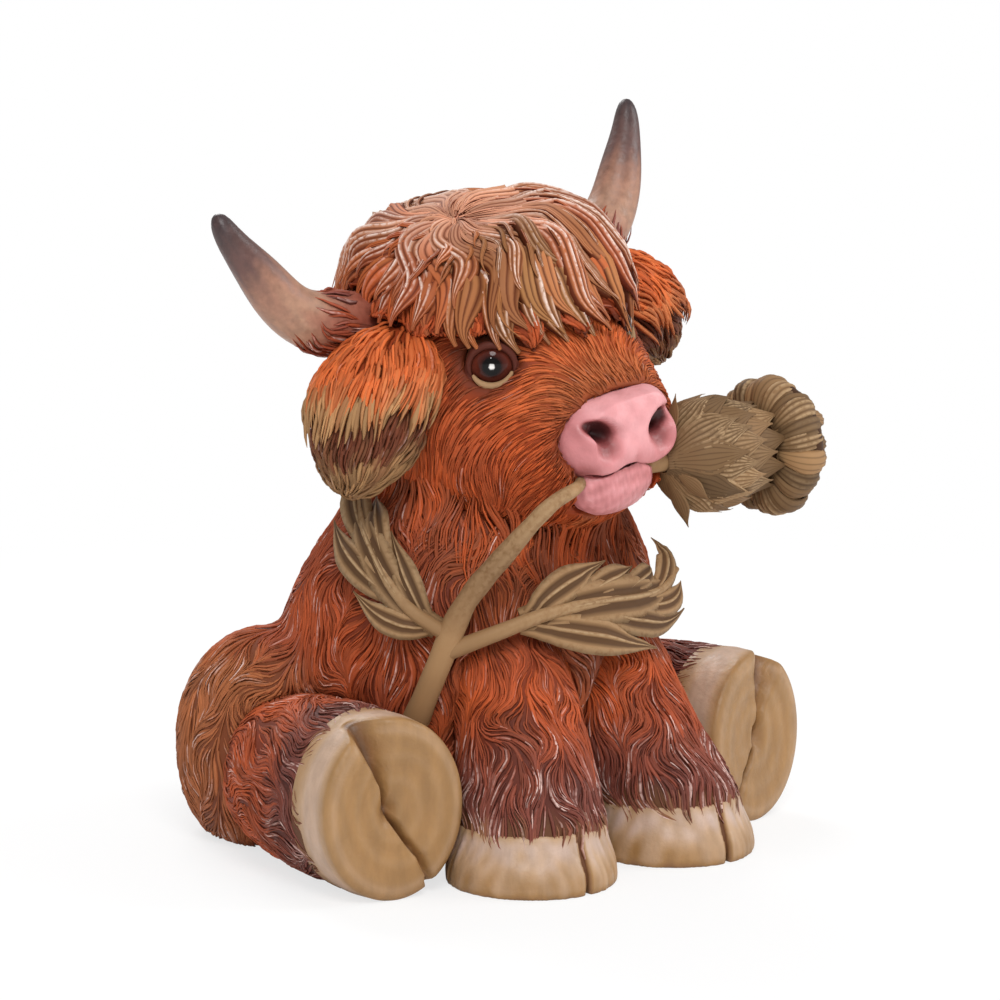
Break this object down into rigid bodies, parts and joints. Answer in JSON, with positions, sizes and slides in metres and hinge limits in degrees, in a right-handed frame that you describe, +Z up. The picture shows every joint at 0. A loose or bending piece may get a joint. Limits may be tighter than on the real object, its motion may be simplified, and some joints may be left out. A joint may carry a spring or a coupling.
{
  "type": "seated calf figurine",
  "caption": "Seated long-haired highland calf ornament with upswept horns, holding a thistle with leaves in its mouth.",
  "frame": {"origin": "on the floor, in the calf's middle plane, under its belly, on the underside of the base felt", "axes": "+Z up, the calf faces -Y, its left side is +X"},
  "size_m": [0.141, 0.1257, 0.1644],
  "materials": {
    "fur_resin": "hand-painted rust-red resin with a dark wash",
    "forelock_resin": "hand-painted golden resin with pale ridges",
    "horn_resin": "cream resin shaded to dark brown tips",
    "hoof_resin": "cream-tan painted resin",
    "muzzle_resin": "pink painted resin",
    "thistle_resin": "khaki-brown resin with a dark wash",
    "eye_gloss": "dark brown gloss",
    "pin_steel": "plain steel",
    "felt": "dark felt"
  },
  "bodies": {
    "root": {"base_felt": "felt", "chest_leaf": "thistle_resin", "ear_pins": "pin_steel", "forelock": "forelock_resin", "front_leg_pins": "pin_steel", "head": "fur_resin", "hind_leg_pins": "pin_steel", "horn_pins": "pin_steel", "left_ear": "fur_resin", "left_eye": "eye_gloss", "left_front_hoof": "hoof_resin", "left_front_leg": "fur_resin", "left_hind_hoof": "hoof_resin", "left_hind_leg": "fur_resin", "left_horn": "horn_resin", "lower_lip": "muzzle_resin", "muzzle": "muzzle_resin", "neck_leaf": "thistle_resin", "neck_pin": "pin_steel", "right_ear": "fur_resin", "right_eye": "eye_gloss", "right_front_hoof": "hoof_resin", "right_front_leg": "fur_resin", "right_hind_hoof": "hoof_resin", "right_hind_leg": "fur_resin", "right_horn": "horn_resin", "tail": "fur_resin", "thistle_bulb": "thistle_resin", "thistle_flower": "thistle_resin", "thistle_pin": "pin_steel", "thistle_stem": "thistle_resin", "torso": "fur_resin"}
  },
  "joints": []
}
